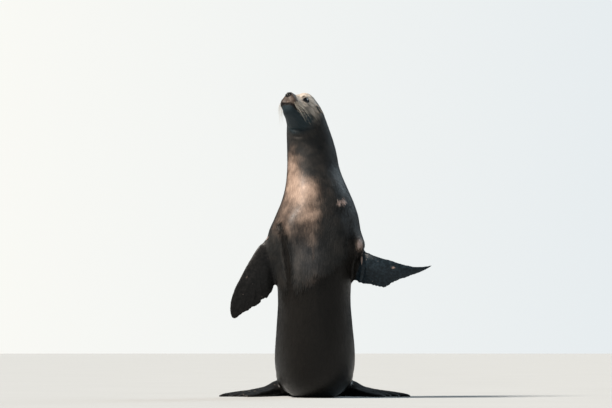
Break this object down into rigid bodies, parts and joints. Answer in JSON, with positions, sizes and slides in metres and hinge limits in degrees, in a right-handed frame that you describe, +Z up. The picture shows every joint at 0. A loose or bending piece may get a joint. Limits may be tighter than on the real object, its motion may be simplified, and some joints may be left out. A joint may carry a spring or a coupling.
{
  "type": "sea lion",
  "caption": "Life-size California sea lion sitting upright, head turned and raised, one fore flipper hanging and the other held out.",
  "frame": {"origin": "on the floor, in the middle of the flat that the lower belly rests on", "axes": "+Z up, the animal faces -Y and its left side is +X"},
  "size_m": [0.9881, 0.9767, 1.4065],
  "materials": {
    "wet_coat": "short dense fur lying flat, wet and glossy, dark brown with a paler crown",
    "flipper_skin": "bare leathery skin, black-brown, wet",
    "eye": "dark and very glossy"
  },
  "bodies": {
    "root": {"head": "wet_coat", "lower_jaw": "wet_coat", "neck": "wet_coat", "chest": "wet_coat", "belly": "wet_coat", "hips": "wet_coat", "ear_left": "wet_coat", "ear_right": "wet_coat", "tail": "flipper_skin", "fore_flipper_left": "flipper_skin", "fore_flipper_right": "flipper_skin", "hind_flipper_left": "flipper_skin", "hind_flipper_right": "flipper_skin", "eye_left": "eye", "eye_right": "eye"}
  },
  "joints": []
}
